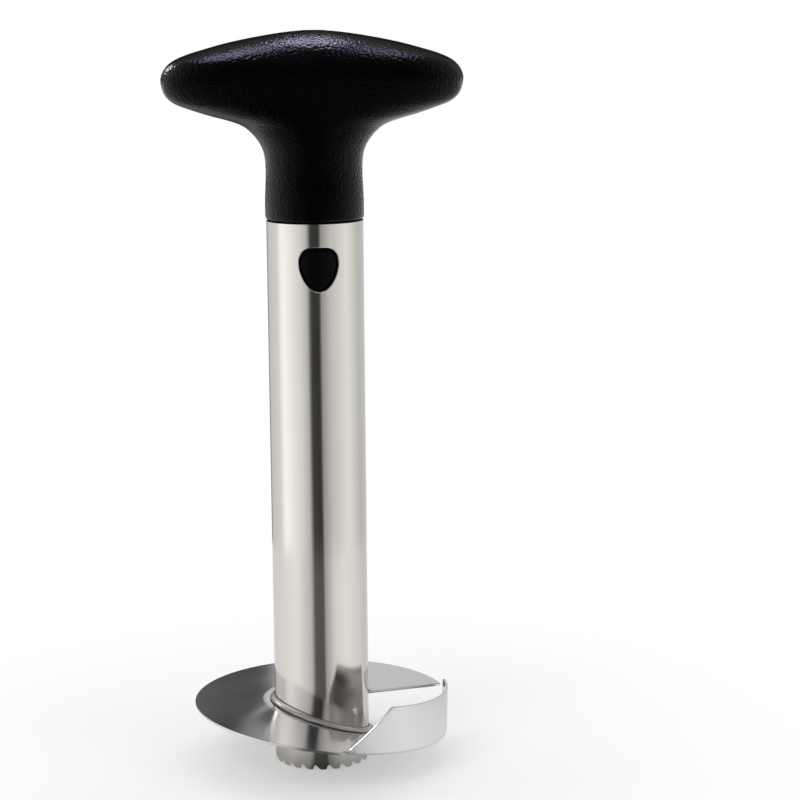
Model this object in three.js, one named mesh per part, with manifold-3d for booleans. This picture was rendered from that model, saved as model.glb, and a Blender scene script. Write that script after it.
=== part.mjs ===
import * as THREE from "three";
import { mergeVertices } from "three/addons/utils/BufferGeometryUtils.js";
import Module from "manifold-3d";

const wasm = await Module();
wasm.setup();

// A slicer that is turned down into a fruit: grip, toothed core tube and helical ring blade.
// Millimetres, +Z up. The origin is on the tube's axis, level with the tips of the teeth.
// The front is -Y. An azimuth is 0 at the front and grows towards +X.

// Core tube
const tubeOuterRadius = 15.5;
const tubeWall = 0.8;
const tubeLength = 179.2;
const tubeFacets = 88;

// Teeth on the tube's lower end
const toothCount = 22;
const toothDepth = 2.2;
const toothLand = 0.9;
const toothReachShares = { steepFoot: 0.2, roof: 0.36, roofEnd: 0.56, slopeFoot: 0.8 };
const toothRiseShares = { steepFoot: 0.1, slopeFoot: 0.12 };
const toothCurveSteps = 4;

// Latch holes in the tube, pick-shaped with the point down
const latchHoleWidth = 12.6;
const latchHoleHeight = 14;
const latchHoleDrop = 7.7;
const pickReachShares = { flat: 0.36, shoulder: 0.82, tipPull: 0.56 };
const pickFallShares = { shoulder: 0.14, widest: 0.34, flank: 0.6 };
const pickCurveSteps = 5;

// Ring blade
const ringRadius = 41.9;
const sheetThickness = 0.8;
const ringHighLevel = 19.8;
const sliceThickness = 11.6;
const rampStartAzimuth = -80;
const rampEndAzimuth = 100;
const slitOpening = 2;
const wallHeight = 15.8;
const wallFootAzimuth = 7.5;
const wallTopAzimuth = 28.2;
const wallLean = 1.5;
const cornerRadius = 3;
const cornerStartAzimuth = 2;
const cornerEndAzimuth = 16;
const wallNoseAngle = 6;
const rimLip = 0.5;
const edgeBevelAngle = 5;
const edgeThickness = 0.15;
const ringStep = 5;
const ringLeastStep = 0.5;
const cornerSteps = 4;
const ringToTube = 0.3;

// Weld bead between the tube and the ring blade
const weldLeg = 1.3;
const weldClearance = 0.3;
const weldHollowShare = 0.36;

// Grip, with heights above the tube's upper edge
const gripHeight = 59.6;
const gripHalfLength = 48;
const gripHalfDepth = 17.2;
const neckOverhang = 0.3;
const neckWaistDraw = 0.35;
const neckWaistHeight = 17;
const neckEdge = 1.3;
const neckEdgeTurns = [0, 30, 60];
const gripWall = 2.4;
const gripSeam = 0.3;
const gripFullness = 0.5;
const gripRings = 24;
const gripFacets = 32;
// Each level: height as a share of the grip's, then how far its length and depth have grown
const gripFlareShares = [
  [0.37, 0.022, 0.1],
  [0.432, 0.084, 0.25],
  [0.494, 0.2, 0.4],
  [0.525, 0.335, 0.5],
  [0.557, 0.545, 0.62],
  [0.589, 0.725, 0.72],
  [0.621, 0.875, 0.82],
  [0.652, 0.945, 0.9],
  [0.685, 0.98, 0.96],
];
// Each level: height, half length and half depth as shares of the grip's
const gripCrownShares = [
  [0.745, 1, 1],
  [0.779, 0.989, 0.99],
  [0.81, 0.966, 0.965],
  [0.841, 0.922, 0.925],
  [0.873, 0.836, 0.86],
  [0.904, 0.71, 0.773],
  [0.9355, 0.563, 0.64],
  [0.967, 0.3685, 0.436],
  [0.989, 0.19, 0.23],
];

// Inside the grip
const neckLipHeight = 3.2;
const shelfThickness = 2.4;
const shelfEmbed = 1;
const ribThickness = 1.6;
const ribSetback = 1.2;
const ribEmbed = 0.6;
const ribPlaceShares = [-0.66, -0.4, 0.4, 0.66];
const pinRadius = 2;
const pinClearance = 0.3;
const pinLength = 4;
const pinBossWall = 1.6;
const pinPlaceShares = [[-0.54, 0.74], [0, 0.66], [0.54, 0.74]];
const pinFacets = 12;

// Latch insert, with heights from the tube's upper edge
const insertClearance = 0.35;
const insertWall = 1.8;
const insertDepth = 42;
const insertWeb = 2.5;
const insertNose = 0.8;
const stemWall = 2.4;
const stemHeight = 16;
const flangeStep = 1.6;
const flangeThickness = 3.8;
const flangeClearance = 0.4;
const keyWidth = 5;
const keyStandoff = 0.6;
const keyClearance = 0.3;
const guideClearance = 0.5;
const guideTail = 3;
const roofClearance = 2.9;
const seatGap = 0.3;
const insertFacets = 36;

// Insert cap
const capThickness = 1.8;
const capSpigotHeight = 5;
const capSpigotWall = 1.4;
const capClearance = 0.3;

// Latch buttons, drawn where their faces stand just inside the tube's bore
const buttonFaceClearance = 0.2;
const buttonClearance = 0.3;
const buttonEdge = 0.9;
const buttonEdgeTurns = [0, 45, 90];
const buttonLatchTravel = 1;
const buttonStopGap = 0.35;
const buttonFlangeGrowth = 1.5;
const buttonFlangeThickness = 1.7;
const springSeatMargin = 0.95;
const springSeatInset = 1.3;
const springPinClearance = 0.55;
const springPinLength = 4.6;
const buttonCrownShares = [0.7, 0.36];

// Button spring
const springWire = 0.9;
const springRadius = 3.2;
const springActiveTurns = 6;
const springEndGap = 0.3;
const springDeadGap = 0.55;
const springStepsPerTurn = 8;
const springSides = 5;

// One overrun serves all cuts, and one tolerance all merging
const overrun = 1;
const mergeTolerance = 1e-4;

const blackGrip = new THREE.MeshStandardMaterial({ color: 0x131217, roughness: 0.5, metalness: 0 });
const blackInsert = new THREE.MeshStandardMaterial({ color: 0x17171a, roughness: 0.4, metalness: 0 });
const blackButton = new THREE.MeshStandardMaterial({ color: 0x0b0b0d, roughness: 0.25, metalness: 0 });
const brushedSteel = new THREE.MeshStandardMaterial({ color: 0xc4c5c7, roughness: 0.34, metalness: 1 });
const polishedSteel = new THREE.MeshStandardMaterial({ color: 0xcfd0d4, roughness: 0.2, metalness: 1 });
const weldSteel = new THREE.MeshStandardMaterial({ color: 0xa9a59c, roughness: 0.45, metalness: 1 });
const springSteel = new THREE.MeshStandardMaterial({ color: 0xb4b5b8, roughness: 0.3, metalness: 1 });

// What fits together takes its size from what it fits
const tubeInnerRadius = tubeOuterRadius - tubeWall;
const neckRadius = tubeOuterRadius + neckOverhang;
const neckWaistRadius = neckRadius - neckWaistDraw;
const neckBoreRadius = neckWaistRadius - gripWall;
const insertRadius = tubeInnerRadius - insertClearance;
const cavityRadius = insertRadius - insertWall;
const flangeRadius = neckBoreRadius - flangeClearance;
const stemRadius = flangeRadius - flangeStep;
const lipRadius = stemRadius + flangeClearance;
const keyRadius = stemRadius + keyStandoff;
const flangeBottom = neckLipHeight + flangeClearance;
const flangeTop = flangeBottom + flangeThickness;
const latchHoleBottom = -latchHoleDrop - latchHoleHeight;
const latchHoleMiddle = -latchHoleDrop - latchHoleHeight / 2;
const roofHeight = -latchHoleDrop + buttonFlangeGrowth + roofClearance;
const guideHalfWidth = latchHoleWidth / 2 + buttonFlangeGrowth + guideClearance;
const guideBottom = latchHoleBottom - buttonFlangeGrowth - guideTail;
const buttonFaceRadius = tubeInnerRadius - buttonFaceClearance;
const buttonFlangeFront = cavityRadius - buttonLatchTravel - buttonStopGap;
const buttonFlangeBack = buttonFlangeFront - buttonFlangeThickness;
const springSeatDepth = buttonFlangeBack - springSeatInset;
const springSeatRadius = springRadius + springWire / 2 + springSeatMargin;
const springPinRadius = springRadius - springWire / 2 - springPinClearance;

// A closed geometry becomes a solid once its shared vertices are merged and its slivers dropped
function solidOf(geometry) {
  const bare = geometry.index ? geometry.toNonIndexed() : geometry.clone();
  for (const name of Object.keys(bare.attributes)) {
    if (name !== "position") {
      bare.deleteAttribute(name);
    }
  }
  const merged = mergeVertices(bare, mergeTolerance);
  const corners = [];
  const index = merged.index.array;
  for (let i = 0; i < index.length; i += 3) {
    const [a, b, c] = [index[i], index[i + 1], index[i + 2]];
    if (a !== b && b !== c && c !== a) {
      corners.push(a, b, c);
    }
  }
  return new wasm.Manifold(new wasm.Mesh({
    numProp: 3,
    vertProperties: Float32Array.from(merged.attributes.position.array),
    triVerts: Uint32Array.from(corners),
  }));
}

function geometryOf(solid) {
  const mesh = solid.getMesh();
  const geometry = new THREE.BufferGeometry();
  geometry.setAttribute("position", new THREE.BufferAttribute(mesh.vertProperties, 3));
  geometry.setIndex(new THREE.BufferAttribute(mesh.triVerts, 1));
  return geometry;
}

function piece(name, geometry, material) {
  const mesh = new THREE.Mesh(geometry, material);
  mesh.name = name;
  return mesh;
}

// A profile of [radius, height] pairs, anticlockwise, turned about Z
function turned(profile, facets) {
  const points = profile.map(([radius, height]) => new THREE.Vector2(radius, height));
  points.push(points[0].clone());
  return new THREE.LatheGeometry(points, facets).rotateX(Math.PI / 2);
}

// A block between two corners
function block(low, high) {
  const size = high.map((value, axis) => value - low[axis]);
  const middle = high.map((value, axis) => (value + low[axis]) / 2);
  return new THREE.BoxGeometry(...size).translate(...middle);
}

// A shape drawn in X and Z, extruded from one Y to another
function extrudedAlongY(shape, fromY, toY, curveSegments) {
  const settings = { depth: toY - fromY, bevelEnabled: false, curveSegments };
  return new THREE.ExtrudeGeometry(shape, settings).rotateX(Math.PI / 2).translate(0, toY, 0);
}

// A round bar along Y
function barAlongY(radius, x, z, fromY, toY) {
  const bar = new THREE.CylinderGeometry(radius, radius, toY - fromY, pinFacets);
  return bar.translate(x, (fromY + toY) / 2, z);
}

// The end of a skin, closed by a fan round its middle
function fanEnd(points, faces, first, count, flipped) {
  const middle = new THREE.Vector3();
  for (let i = 0; i < count; i += 1) {
    middle.add(points[first + i]);
  }
  points.push(middle.divideScalar(count));
  for (let i = 0; i < count; i += 1) {
    const here = first + i;
    const next = first + (i + 1) % count;
    faces.push(points.length - 1, flipped ? next : here, flipped ? here : next);
  }
}

// The end of a thin skin, closed by a strip between its two long sides
function stripEnd(points, faces, first, count, flipped) {
  for (let i = 0; i + 1 < count / 2; i += 1) {
    const a = first + i;
    const b = first + i + 1;
    const c = first + count - 2 - i;
    const d = first + count - 1 - i;
    faces.push(...(flipped ? [a, c, b, a, d, c] : [a, b, c, a, c, d]));
  }
}

// A closed skin over a row of rings with as many points each
function skinOver(rings, closeEnd) {
  const count = rings[0].length;
  const points = rings.flat();
  const faces = [];
  for (let ring = 0; ring + 1 < rings.length; ring += 1) {
    for (let side = 0; side < count; side += 1) {
      const here = ring * count + side;
      const next = ring * count + (side + 1) % count;
      faces.push(here, next, next + count, here, next + count, here + count);
    }
  }
  closeEnd(points, faces, 0, count, true);
  closeEnd(points, faces, (rings.length - 1) * count, count, false);
  const geometry = new THREE.BufferGeometry().setFromPoints(points);
  geometry.setIndex(faces);
  return geometry;
}

function degrees(angle) {
  return THREE.MathUtils.degToRad(angle);
}

// The place at a radius, azimuth in degrees and height
function around(radius, azimuth, height) {
  const turn = degrees(azimuth);
  return new THREE.Vector3(radius * Math.sin(turn), -radius * Math.cos(turn), height);
}

// The latch outline, in X and in heights from the tube's upper edge, grown all round
function pickShape(growth) {
  const half = latchHoleWidth / 2 + growth;
  const top = -latchHoleDrop + growth;
  const bottom = latchHoleBottom - growth;
  const level = (share) => top + (bottom - top) * share;
  const flat = half * pickReachShares.flat;
  const shoulder = half * pickReachShares.shoulder;
  const tip = half * pickReachShares.tipPull;
  const widest = level(pickFallShares.widest);
  const bend = level(pickFallShares.shoulder);
  const flank = level(pickFallShares.flank);
  const shape = new THREE.Shape();
  shape.moveTo(0, bottom);
  shape.bezierCurveTo(tip, bottom, half, flank, half, widest);
  shape.bezierCurveTo(half, bend, shoulder, top, flat, top);
  shape.lineTo(-flat, top);
  shape.bezierCurveTo(-shoulder, top, -half, bend, -half, widest);
  shape.bezierCurveTo(-half, flank, -tip, bottom, 0, bottom);
  return shape;
}

// The hollow between two teeth, with a steep flank after the first and a long slope to the next
function gulletShape() {
  const pitch = 2 * tubeOuterRadius * Math.sin(Math.PI / toothCount);
  const start = toothLand / 2;
  const end = pitch - toothLand / 2;
  const reach = (share) => start + (end - start) * share;
  const shape = new THREE.Shape();
  shape.moveTo(start, -overrun);
  shape.lineTo(end, -overrun);
  shape.lineTo(end, 0);
  shape.bezierCurveTo(
    reach(toothReachShares.slopeFoot), toothDepth * toothRiseShares.slopeFoot,
    reach(toothReachShares.roofEnd), toothDepth,
    reach(toothReachShares.roof), toothDepth,
  );
  shape.bezierCurveTo(
    reach(0), toothDepth,
    reach(toothReachShares.steepFoot), toothDepth * toothRiseShares.steepFoot,
    start, 0,
  );
  return shape;
}

function coreTube() {
  const wall = [
    [tubeInnerRadius, 0],
    [tubeOuterRadius, 0],
    [tubeOuterRadius, tubeLength],
    [tubeInnerRadius, tubeLength],
  ];
  let tube = solidOf(turned(wall, tubeFacets));
  const reach = tubeOuterRadius + overrun;
  const holes = extrudedAlongY(pickShape(0), -reach, reach, pickCurveSteps).translate(0, 0, tubeLength);
  tube = tube.subtract(solidOf(holes));
  const innerReach = tubeInnerRadius * Math.cos(Math.PI / toothCount) - overrun;
  for (let tooth = 0; tooth < toothCount; tooth += 1) {
    const gullet = extrudedAlongY(gulletShape(), -reach, -innerReach, toothCurveSteps);
    gullet.rotateZ(2 * Math.PI * tooth / toothCount);
    tube = tube.subtract(solidOf(gullet));
  }
  return geometryOf(tube);
}

// Smooth change from 0 to 1 between two azimuths
function ease(azimuth, from, to) {
  const share = THREE.MathUtils.clamp((azimuth - from) / (to - from), 0, 1);
  return (1 - Math.cos(Math.PI * share)) / 2;
}

// Height of the middle of the sheet, which ramps down by one slice
function ringLevel(azimuth) {
  return ringHighLevel - sliceThickness * ease(azimuth, rampStartAzimuth, rampEndAzimuth);
}

// Length of the upturned wall's straight run, trimmed on a slant at its tail and at its nose
function wallRun(azimuth) {
  const full = wallHeight - cornerRadius;
  const tail = THREE.MathUtils.clamp((azimuth - wallFootAzimuth) / (wallTopAzimuth - wallFootAzimuth), 0, 1);
  const nose = THREE.MathUtils.clamp((rampEndAzimuth - azimuth) / wallNoseAngle, 0, 1);
  return rimLip + (full - rimLip) * Math.min(tail, nose);
}

// The middle line of the sheet at an azimuth: flat, then bent up through the corner, then straight
function sheetLine(azimuth) {
  const bend = ease(azimuth, cornerStartAzimuth, cornerEndAzimuth) * degrees(90 - wallLean);
  const step = (cornerRadius - sheetThickness / 2) * degrees(90) / cornerSteps;
  const run = wallRun(azimuth);
  const rim = [[0, 0]];
  let along = 0;
  let up = 0;
  for (let i = 0; i < cornerSteps; i += 1) {
    const slope = bend * (i + 0.5) / cornerSteps;
    along += step * Math.cos(slope);
    up += step * Math.sin(slope);
    rim.push([along, up]);
  }
  const reach = along + run * Math.cos(bend);
  rim.push([reach, up + run * Math.sin(bend)]);
  const start = ringRadius - sheetThickness / 2 * Math.sin(bend) - reach;
  const level = ringLevel(azimuth);
  return [
    [tubeOuterRadius + ringToTube, level],
    ...rim.map(([out, rise]) => [start + out, level + rise]),
  ];
}

// The sheet thins to a cutting edge at the low end of the ramp
function sheetAt(azimuth) {
  const share = THREE.MathUtils.clamp((rampEndAzimuth - azimuth) / edgeBevelAngle, 0, 1);
  return edgeThickness + (sheetThickness - edgeThickness) * share;
}

// One section through the sheet: its lower skin from the rim inwards, then its upper skin back out
function sheetSection(azimuth) {
  const line = sheetLine(azimuth);
  const thickness = sheetAt(azimuth);
  const under = sheetThickness / 2;
  const over = thickness - under;
  const lower = [];
  const upper = [];
  for (let i = 0; i < line.length; i += 1) {
    const before = line[Math.max(i - 1, 0)];
    const after = line[Math.min(i + 1, line.length - 1)];
    const length = Math.hypot(after[0] - before[0], after[1] - before[1]);
    const normal = [-(after[1] - before[1]) / length, (after[0] - before[0]) / length];
    const [radius, height] = line[i];
    lower.unshift(around(radius - normal[0] * under, azimuth, height - normal[1] * under));
    upper.push(around(radius + normal[0] * over, azimuth, height + normal[1] * over));
  }
  return [...lower, ...upper];
}

// Azimuths from the high end of the sheet, once round, to the cutting edge
function ringAzimuths(extra) {
  const first = rampEndAzimuth - 360 + slitOpening;
  const stops = [first, rampEndAzimuth, ...extra];
  const steps = Math.floor((rampEndAzimuth - first) / ringStep);
  for (let i = 1; i < steps; i += 1) {
    stops.push(rampEndAzimuth - i * ringStep);
  }
  const sorted = stops.sort((a, b) => a - b);
  return sorted.filter((azimuth, i) => i === 0 || azimuth - sorted[i - 1] > ringLeastStep);
}

function ringBlade() {
  const corners = [wallFootAzimuth, wallTopAzimuth, rampEndAzimuth - wallNoseAngle, rampEndAzimuth - edgeBevelAngle];
  return skinOver(ringAzimuths(corners).map(sheetSection), stripEnd);
}

// A hollow-faced fillet on top of the sheet, against the tube
function ringWeld() {
  const inner = tubeOuterRadius + weldClearance;
  const rings = ringAzimuths([]).map((azimuth) => {
    const foot = ringLevel(azimuth) + sheetThickness / 2 + weldClearance;
    return [
      around(inner + weldLeg, azimuth, foot),
      around(inner, azimuth, foot),
      around(inner, azimuth, foot + weldLeg),
      around(inner + weldLeg * weldHollowShare, azimuth, foot + weldLeg * weldHollowShare),
    ];
  });
  return skinOver(rings, stripEnd);
}

// Half length, half depth and height of the grip's levels, as a smooth curve from neck to crown
function gripCurve() {
  const levels = [
    [neckRadius, neckRadius, seatGap + neckEdge],
    [neckRadius, neckRadius, neckWaistHeight / 3],
    [neckWaistRadius, neckWaistRadius, neckWaistHeight],
  ];
  for (const [rise, length, depth] of gripFlareShares) {
    levels.push([
      neckWaistRadius + (gripHalfLength - neckWaistRadius) * length,
      neckWaistRadius + (gripHalfDepth - neckWaistRadius) * depth,
      gripHeight * rise,
    ]);
  }
  for (const [rise, length, depth] of gripCrownShares) {
    levels.push([gripHalfLength * length, gripHalfDepth * depth, gripHeight * rise]);
  }
  return new THREE.CatmullRomCurve3(levels.map((level) => new THREE.Vector3(...level)), false, "centripetal");
}

// A level's outline: round at the neck, fuller than an ellipse where it is long
function gripOutline(halfLength, halfDepth, height) {
  const power = 2 / (2 + gripFullness * (1 - halfDepth / halfLength));
  const outline = [];
  for (let i = 0; i < gripFacets; i += 1) {
    const turn = 2 * Math.PI * i / gripFacets;
    const along = Math.sign(Math.cos(turn)) * Math.abs(Math.cos(turn)) ** power;
    const across = Math.sign(Math.sin(turn)) * Math.abs(Math.sin(turn)) ** power;
    outline.push(new THREE.Vector3(halfLength * along, halfDepth * across, height));
  }
  return outline;
}

// The grip's outside, or its inside when it is drawn in by a wall
function gripSolid(inset) {
  const rings = [];
  for (const turn of neckEdgeTurns) {
    const edge = neckRadius - neckEdge * (1 - Math.sin(degrees(turn)));
    rings.push(gripOutline(edge, edge, seatGap + neckEdge * (1 - Math.cos(degrees(turn)))));
  }
  for (const level of gripCurve().getSpacedPoints(gripRings)) {
    rings.push(gripOutline(level.x, level.y, level.z));
  }
  const skin = skinOver(rings, fanEnd);
  const crown = new THREE.Vector3(0, 0, gripHeight);
  skin.attributes.position.setXYZ(skin.attributes.position.count - 1, ...crown);
  if (inset === 0) {
    return solidOf(skin);
  }
  skin.computeVertexNormals();
  const { position, normal } = skin.attributes;
  for (let i = 0; i < position.count; i += 1) {
    const at = new THREE.Vector3().fromBufferAttribute(position, i);
    at.addScaledVector(new THREE.Vector3().fromBufferAttribute(normal, i), -inset);
    position.setXYZ(i, ...at);
  }
  return solidOf(skin);
}

// The hollow of the grip above a floor
function gripHollow(inset, floor) {
  const reach = gripHalfLength + overrun;
  const above = solidOf(block([-reach, -reach, floor], [reach, reach, gripHeight + overrun]));
  return gripSolid(inset).intersect(above);
}

// The ring shelf above the insert's flange
function gripShelf() {
  const outer = neckBoreRadius + shelfEmbed;
  const bottom = flangeTop + flangeClearance;
  return solidOf(turned([
    [lipRadius, bottom],
    [outer, bottom],
    [outer, bottom + shelfThickness],
    [lipRadius, bottom + shelfThickness],
  ], insertFacets));
}

// One half of the grip: side is -1 for the front and 1 for the rear
function gripShell(side, outside, inside, ribSpace) {
  const reach = gripHalfLength + overrun;
  const seam = side * gripSeam / 2;
  const deep = side * reach;
  const halfSpace = solidOf(block(
    [-reach, Math.min(seam, deep), -overrun],
    [reach, Math.max(seam, deep), gripHeight + overrun],
  ));
  let shell = outside.subtract(inside).add(gripShelf());
  const bore = turned([
    [0, -overrun],
    [lipRadius, -overrun],
    [lipRadius, neckLipHeight + overrun],
    [0, neckLipHeight + overrun],
  ], insertFacets);
  shell = shell.subtract(solidOf(bore));
  const key = block(
    [-keyWidth / 2 + keyClearance, Math.min(side * keyRadius, side * neckRadius), neckLipHeight - ribEmbed],
    [keyWidth / 2 - keyClearance, Math.max(side * keyRadius, side * neckRadius), flangeTop + shelfThickness],
  );
  shell = shell.add(solidOf(key).intersect(ribSpace));
  for (const share of ribPlaceShares) {
    const x = gripHalfLength * share;
    const inner = seam + side * ribSetback;
    const rib = block(
      [x - ribThickness / 2, Math.min(inner, deep), 0],
      [x + ribThickness / 2, Math.max(inner, deep), gripHeight],
    );
    shell = shell.add(solidOf(rib).intersect(ribSpace));
  }
  for (const [xShare, zShare] of pinPlaceShares) {
    const place = [gripHalfLength * xShare, gripHeight * zShare];
    const boss = barAlongY(pinRadius + pinBossWall, ...place, Math.min(seam, deep), Math.max(seam, deep));
    shell = shell.add(solidOf(boss).intersect(ribSpace));
  }
  shell = shell.intersect(halfSpace);
  for (const [xShare, zShare] of pinPlaceShares) {
    const place = [gripHalfLength * xShare, gripHeight * zShare];
    if (side > 0) {
      shell = shell.add(solidOf(barAlongY(pinRadius, ...place, -pinLength, pinLength)));
    } else {
      const depth = pinLength + pinClearance;
      shell = shell.subtract(solidOf(barAlongY(pinRadius + pinClearance, ...place, -depth, depth)));
    }
  }
  return geometryOf(shell);
}

function latchInsert() {
  const body = turned([
    [0, roofHeight],
    [cavityRadius, roofHeight],
    [cavityRadius, -insertDepth],
    [insertRadius, -insertDepth],
    [insertRadius, -insertNose],
    [insertRadius - insertNose, 0],
    [stemRadius, 0],
    [stemRadius, flangeBottom],
    [flangeRadius, flangeBottom],
    [flangeRadius, flangeTop],
    [stemRadius, flangeTop],
    [stemRadius, stemHeight],
    [stemRadius - stemWall, stemHeight],
    [stemRadius - stemWall, roofHeight + insertWeb],
    [0, roofHeight + insertWeb],
  ], insertFacets);
  let insert = solidOf(body);
  const guideSpace = solidOf(turned([
    [0, guideBottom],
    [cavityRadius + insertWall / 2, guideBottom],
    [cavityRadius + insertWall / 2, roofHeight + insertWeb / 2],
    [0, roofHeight + insertWeb / 2],
  ], insertFacets));
  for (const side of [-1, 1]) {
    const near = side * guideHalfWidth;
    const far = side * insertRadius;
    const cheek = block(
      [Math.min(near, far), -insertRadius, guideBottom],
      [Math.max(near, far), insertRadius, 0],
    );
    insert = insert.add(solidOf(cheek).intersect(guideSpace));
  }
  const windows = extrudedAlongY(pickShape(0), -tubeOuterRadius, tubeOuterRadius, pickCurveSteps);
  insert = insert.subtract(solidOf(windows));
  for (const side of [-1, 1]) {
    const near = side * (keyRadius - keyClearance);
    const far = side * (flangeRadius + overrun);
    const notch = block(
      [-keyWidth / 2, Math.min(near, far), flangeBottom - overrun],
      [keyWidth / 2, Math.max(near, far), flangeTop + overrun],
    );
    insert = insert.subtract(solidOf(notch));
  }
  return geometryOf(insert);
}

function insertCap() {
  const top = -insertDepth - capClearance;
  const spigotRadius = cavityRadius - capClearance;
  const profile = [
    [0, top - capThickness],
    [insertRadius - insertNose, top - capThickness],
    [insertRadius, top - capThickness + insertNose],
    [insertRadius, top],
    [spigotRadius, top],
    [spigotRadius, top + capSpigotHeight],
    [spigotRadius - capSpigotWall, top + capSpigotHeight],
    [spigotRadius - capSpigotWall, top],
    [0, top],
  ];
  return geometryOf(solidOf(turned(profile, insertFacets)));
}

// A latch button facing the front, centred on its own height: pin, seat, flange and curved head
function latchButton() {
  const outlineOf = (growth) => {
    const outline = pickShape(growth).getPoints(pickCurveSteps).slice(0, -1);
    return outline.map((point) => [point.x, point.y - latchHoleMiddle]);
  };
  const head = outlineOf(-buttonClearance);
  const circle = (radius) => head.map(([x, z]) => {
    const length = Math.hypot(x, z);
    return [x * radius / length, z * radius / length];
  });
  const shrunk = (outline, share) => outline.map(([x, z]) => [x * share, z * share]);
  const flat = (outline, reach) => outline.map(([x, z]) => new THREE.Vector3(x, -reach, z));
  const curved = (outline, radius) => outline.map(([x, z]) => {
    return new THREE.Vector3(x, -Math.sqrt(radius ** 2 - x ** 2), z);
  });
  const flange = outlineOf(buttonFlangeGrowth);
  const rings = [
    flat(circle(springPinRadius), springSeatDepth - springPinLength),
    flat(circle(springPinRadius), springSeatDepth),
    flat(circle(springSeatRadius), springSeatDepth),
    curved(circle(springSeatRadius), buttonFlangeBack),
    curved(flange, buttonFlangeBack),
    curved(flange, buttonFlangeFront),
    curved(head, buttonFlangeFront),
  ];
  for (const turn of buttonEdgeTurns) {
    const inset = buttonEdge * (1 - Math.cos(degrees(turn)));
    const drop = buttonEdge * (1 - Math.sin(degrees(turn)));
    rings.push(curved(outlineOf(-buttonClearance - inset), buttonFaceRadius - drop));
  }
  for (const share of buttonCrownShares) {
    rings.push(curved(shrunk(outlineOf(-buttonClearance - buttonEdge), share), buttonFaceRadius));
  }
  const skin = skinOver(rings, fanEnd);
  skin.attributes.position.setXYZ(skin.attributes.position.count - 1, 0, -buttonFaceRadius, 0);
  return skin;
}

// A compression spring along Y with closed ends, as one unbroken wire
function buttonSpring() {
  const half = springSeatDepth - springEndGap - springWire / 2;
  const deadPitch = springWire + springDeadGap;
  const activePitch = (2 * half - 2 * deadPitch) / springActiveTurns;
  const turns = springActiveTurns + 2;
  const place = (turn) => {
    const fromStart = Math.min(turn, 1) * deadPitch;
    const active = THREE.MathUtils.clamp(turn - 1, 0, springActiveTurns) * activePitch;
    const atEnd = Math.max(turn - springActiveTurns - 1, 0) * deadPitch;
    return -half + fromStart + active + atEnd;
  };
  const rings = [];
  const centres = [];
  for (let step = 0; step <= turns * springStepsPerTurn; step += 1) {
    const turn = step / springStepsPerTurn;
    const angle = 2 * Math.PI * turn;
    const out = new THREE.Vector3(Math.sin(angle), 0, Math.cos(angle));
    const centre = out.clone().multiplyScalar(springRadius).setY(place(turn));
    centres.push(centre);
    const ring = [];
    for (let side = 0; side < springSides; side += 1) {
      const tilt = 2 * Math.PI * side / springSides;
      const point = centre.clone().addScaledVector(out, springWire / 2 * Math.cos(tilt));
      point.y -= springWire / 2 * Math.sin(tilt);
      ring.push(point);
    }
    rings.push(ring);
  }
  let leastGap = Infinity;
  for (let i = 0; i < centres.length; i += 1) {
    for (let j = i + springStepsPerTurn / 2; j < centres.length; j += 1) {
      leastGap = Math.min(leastGap, centres[i].distanceTo(centres[j]) - springWire);
    }
  }
  console.log(`button_spring: least gap between its turns ${leastGap.toFixed(2)} mm`);
  return skinOver(rings, fanEnd);
}

const tubeGroup = new THREE.Group();
tubeGroup.add(piece("core_tube", coreTube(), brushedSteel));
tubeGroup.add(piece("ring_blade", ringBlade(), polishedSteel));
tubeGroup.add(piece("ring_weld", ringWeld(), weldSteel));

const handleGroup = new THREE.Group();
handleGroup.position.z = tubeLength;
const outside = gripSolid(0);
const inside = gripHollow(gripWall, neckLipHeight);
const ribSpace = gripHollow(gripWall - ribEmbed, neckLipHeight - ribEmbed);
handleGroup.add(piece("grip_front_shell", gripShell(-1, outside, inside, ribSpace), blackGrip));
handleGroup.add(piece("grip_rear_shell", gripShell(1, outside, inside, ribSpace), blackGrip));
handleGroup.add(piece("latch_insert", latchInsert(), blackInsert));
handleGroup.add(piece("insert_cap", insertCap(), blackInsert));

const latchGroup = new THREE.Group();
latchGroup.position.z = latchHoleMiddle;
const frontButton = piece("front_button", latchButton(), blackButton);
const rearButton = piece("rear_button", latchButton(), blackButton);
rearButton.rotation.z = Math.PI;
latchGroup.add(frontButton, rearButton, piece("button_spring", buttonSpring(), springSteel));
handleGroup.add(latchGroup);

const group = new THREE.Group();
group.add(tubeGroup, handleGroup);

export default group;
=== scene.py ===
import math
import bmesh
import bpy
import numpy as np
from mathutils import Matrix, Vector
from mathutils.geometry import interpolate_bezier


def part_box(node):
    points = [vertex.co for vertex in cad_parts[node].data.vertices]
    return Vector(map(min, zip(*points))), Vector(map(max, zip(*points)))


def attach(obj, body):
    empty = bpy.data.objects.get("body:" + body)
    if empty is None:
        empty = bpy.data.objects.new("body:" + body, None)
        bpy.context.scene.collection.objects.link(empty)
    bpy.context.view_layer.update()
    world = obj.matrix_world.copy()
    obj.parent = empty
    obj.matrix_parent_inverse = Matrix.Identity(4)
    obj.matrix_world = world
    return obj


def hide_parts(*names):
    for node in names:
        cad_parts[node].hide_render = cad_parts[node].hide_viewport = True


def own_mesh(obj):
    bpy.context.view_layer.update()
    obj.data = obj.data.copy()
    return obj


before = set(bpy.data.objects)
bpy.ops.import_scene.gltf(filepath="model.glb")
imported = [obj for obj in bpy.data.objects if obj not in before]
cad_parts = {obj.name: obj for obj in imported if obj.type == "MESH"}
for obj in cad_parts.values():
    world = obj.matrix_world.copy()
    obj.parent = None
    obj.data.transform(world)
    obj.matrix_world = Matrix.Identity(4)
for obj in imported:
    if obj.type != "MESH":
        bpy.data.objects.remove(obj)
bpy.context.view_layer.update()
mm = 0.001  # sizes are written in millimetres, Blender works in metres
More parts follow.
